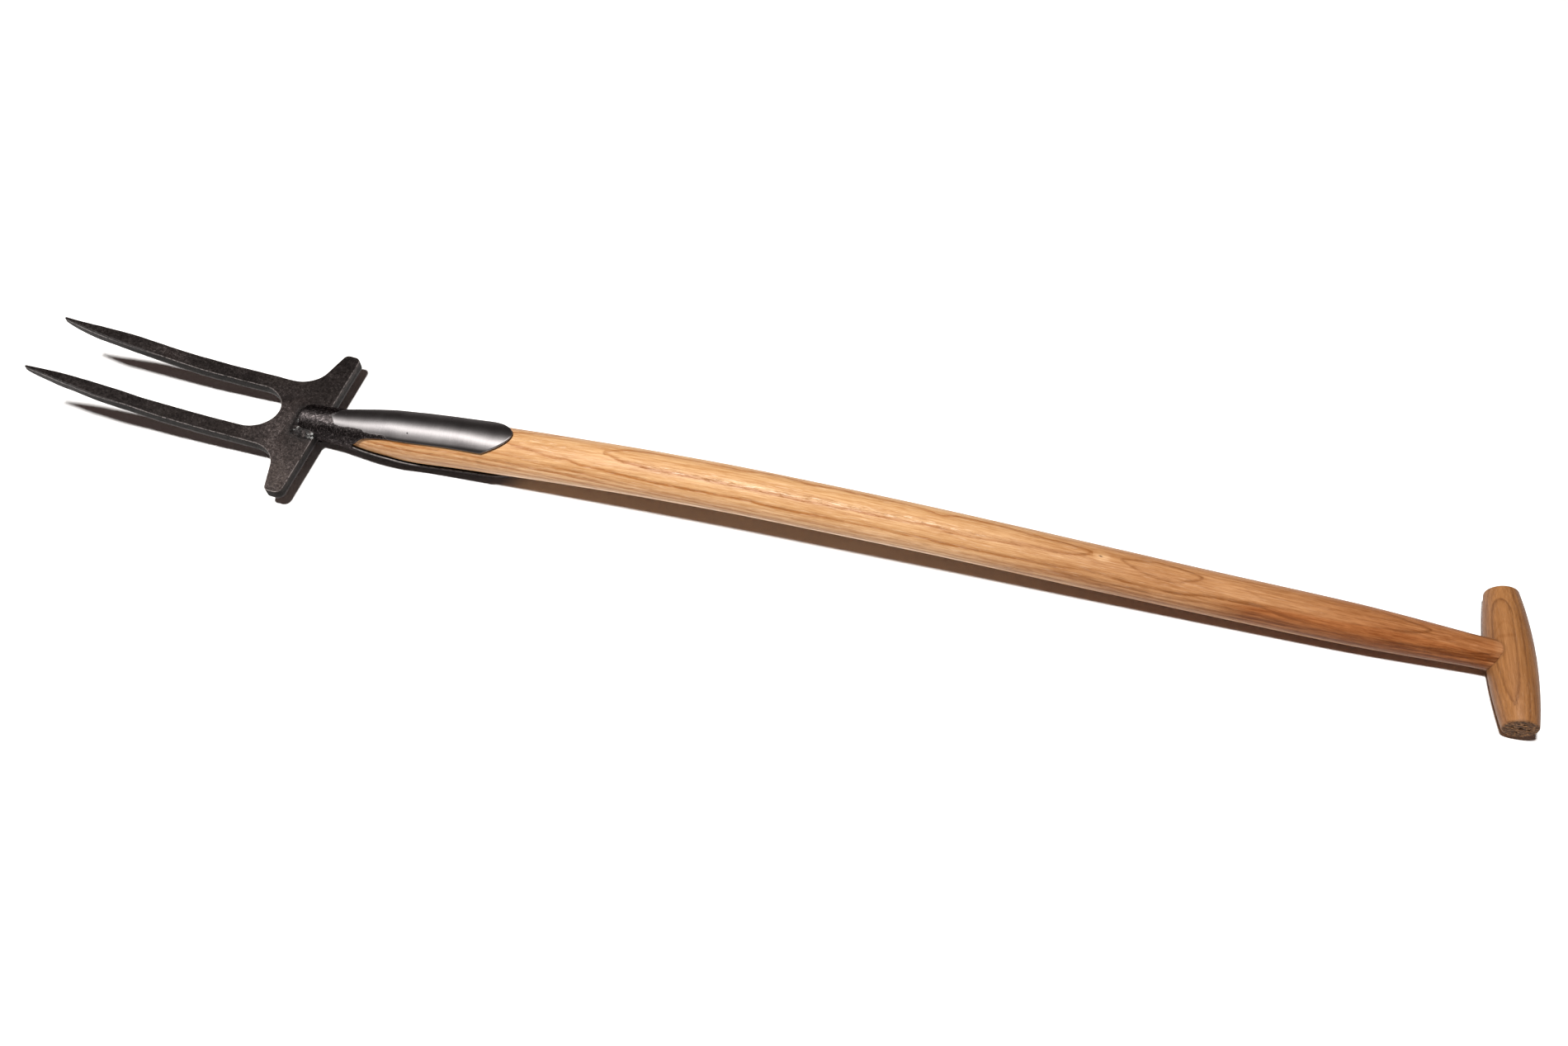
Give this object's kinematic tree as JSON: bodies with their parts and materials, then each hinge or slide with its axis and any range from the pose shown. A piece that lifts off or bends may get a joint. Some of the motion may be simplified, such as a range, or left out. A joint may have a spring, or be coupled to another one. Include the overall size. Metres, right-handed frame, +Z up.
{
  "type": "border fork",
  "caption": "Hand digging fork: flat forged head with curved tines and foot treads, strapped socket, bowed ash shaft and turned T grip, lying on its back.",
  "frame": {"origin": "middle of the footprint, on the ground under the socket's belly and the grip", "axes": "+X from the tine points towards the T grip, +Y to the left of the shaft seen from above, +Z up through the front strap"},
  "size_m": [1.1549, 0.146, 0.0562],
  "materials": {
    "forged_steel": "black forged scale under a thin satin lacquer, worn lighter along the edges",
    "pressed_steel": "satin black, smooth sheet with fine scratches",
    "weld_metal": "ground and blackened weld, rough with bright glints",
    "ash_shaft": "sanded ash, satin oil or varnish",
    "ash_grip": "turned ash, satin oil or varnish",
    "wedge_wood": "dressed end grain, satin",
    "screw_steel": "dull zinc, slotted head"
  },
  "bodies": {
    "root": {"fork_head": "forged_steel", "front_strap": "pressed_steel", "rear_strap": "pressed_steel", "nose_weld": "weld_metal", "rear_weld": "weld_metal", "seam_weld_left": "weld_metal", "seam_weld_right": "weld_metal", "shaft": "ash_shaft", "t_grip": "ash_grip", "tenon_wedge": "wedge_wood", "strap_screw_lower": "screw_steel", "strap_screw_upper": "screw_steel"}
  },
  "joints": []
}
